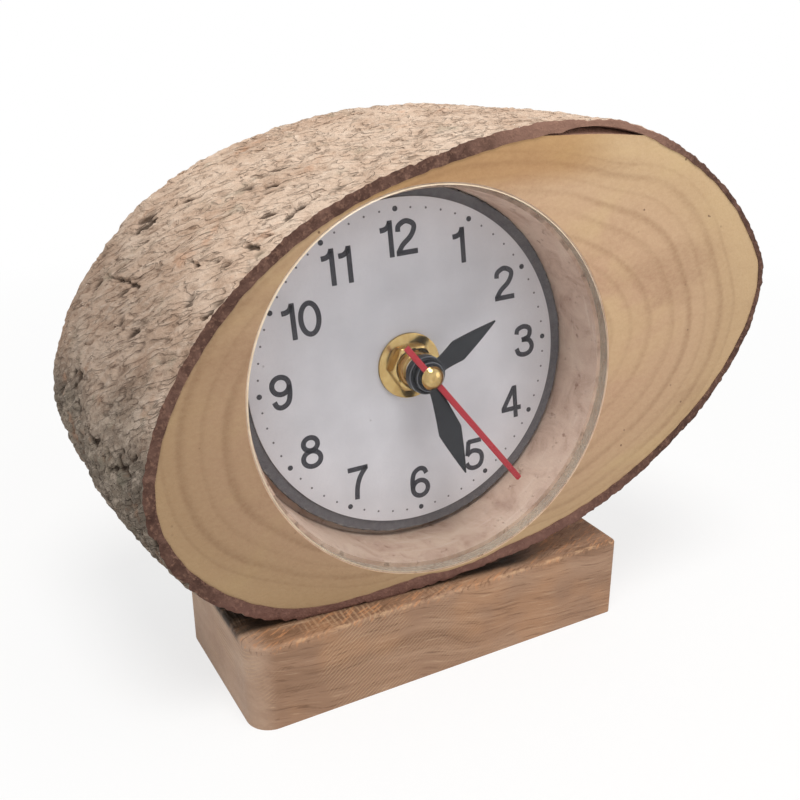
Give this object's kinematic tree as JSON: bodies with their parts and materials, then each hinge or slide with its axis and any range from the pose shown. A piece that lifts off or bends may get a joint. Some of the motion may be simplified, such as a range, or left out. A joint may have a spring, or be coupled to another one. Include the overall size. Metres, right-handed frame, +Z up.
{
  "type": "wooden desk clock",
  "caption": "Oval slice of bark-covered log bored for a quartz clock with three hands, standing on a plain wooden block.",
  "frame": {"origin": "middle of the underside of the wooden block", "axes": "+X to the clock's right, +Y to its back, +Z up; the dial looks towards -Y"},
  "size_m": [0.1566, 0.0726, 0.1213],
  "materials": {
    "block_wood": "oiled",
    "log_wood": "sanded",
    "bark": "rough",
    "screw_steel": "zinc plated",
    "lens_clear": "polished",
    "board_grey": "satin",
    "dial_paper": "matt",
    "brass": "polished",
    "rubber": "matt",
    "case_black": "moulded",
    "plate_white": "moulded",
    "gear_white": "moulded",
    "gear_black": "moulded",
    "gear_dark": "moulded",
    "stator_steel": "rolled",
    "copper": "enamelled wire",
    "circuit": "bare",
    "cell_sleeve": "sleeved",
    "contact_steel": "nickel plated",
    "hand_black": "black paint",
    "hand_red": "red paint"
  },
  "bodies": {
    "clock": {"base_block": "block_wood", "base_screws": "screw_steel", "log_wood": "log_wood", "log_bark": "bark", "lens": "lens_clear", "dial_board": "board_grey", "dial_face": "dial_paper", "brass_washer": "brass", "hex_nut": "brass", "threaded_bush": "brass", "rubber_washer": "rubber", "front_case": "case_black", "middle_plate": "plate_white", "rear_case": "case_black", "stator": "stator_steel", "coil_core": "stator_steel", "coil_bobbin": "plate_white", "coil_winding": "copper", "circuit_board": "circuit", "positive_contact": "contact_steel", "negative_contact": "contact_steel"},
    "hour": {"hour_wheel": "gear_black", "hour_hand": "hand_black"},
    "minute": {"centre_wheel": "gear_black", "minute_hand": "hand_black"},
    "second": {"second_wheel": "gear_white", "second_hand": "hand_red", "second_cap": "brass"},
    "third": {"third_wheel": "gear_white"},
    "step": {"step_wheel": "gear_white"},
    "rotor": {"rotor": "gear_dark"},
    "setting": {"setting_wheel": "gear_white", "setting_knob": "gear_black"},
    "battery": {"cell": "cell_sleeve"}
  },
  "joints": [
    {"name": "second_spin", "type": "hinge", "parent": "clock", "child": "second", "pos_m": [0.0036, 0.0034, 0.0664], "axis": [0.0799, 0.9931, -0.0854], "continuous": true},
    {"name": "minute_spin", "type": "hinge", "parent": "clock", "child": "minute", "pos_m": [0.0036, 0.0034, 0.0664], "axis": [0.0799, 0.9931, -0.0854], "continuous": true},
    {"name": "hour_spin", "type": "hinge", "parent": "clock", "child": "hour", "pos_m": [0.0036, 0.0034, 0.0664], "axis": [0.0799, 0.9931, -0.0854], "continuous": true},
    {"name": "third_spin", "type": "hinge", "parent": "clock", "child": "third", "pos_m": [-0.00715, 0.00422, 0.06582], "axis": [0.0799, 0.9931, -0.0854], "continuous": true},
    {"name": "step_spin", "type": "hinge", "parent": "clock", "child": "step", "pos_m": [0.00755, 0.00374, 0.07408], "axis": [0.0799, 0.9931, -0.0854], "continuous": true},
    {"name": "rotor_spin", "type": "hinge", "parent": "clock", "child": "rotor", "pos_m": [0.00571, 0.00459, 0.08223], "axis": [0.0799, 0.9931, -0.0854], "continuous": true},
    {"name": "setting_spin", "type": "hinge", "parent": "clock", "child": "setting", "pos_m": [0.01555, 0.00249, 0.06705], "axis": [0.0799, 0.9931, -0.0854], "continuous": true},
    {"name": "battery_lift", "type": "slide", "parent": "clock", "child": "battery", "axis": [0.0799, 0.9931, -0.0854], "range_m": [0, 0.036]}
  ],
  "couplings": [
    {"joint": "minute_spin", "follows": "second_spin", "ratio": 0.016667},
    {"joint": "hour_spin", "follows": "second_spin", "ratio": 0.0013889},
    {"joint": "third_spin", "follows": "second_spin", "ratio": -0.13333},
    {"joint": "step_spin", "follows": "second_spin", "ratio": -5},
    {"joint": "rotor_spin", "follows": "second_spin", "ratio": 30},
    {"joint": "setting_spin", "follows": "second_spin", "ratio": -0.0055556}
  ]
}
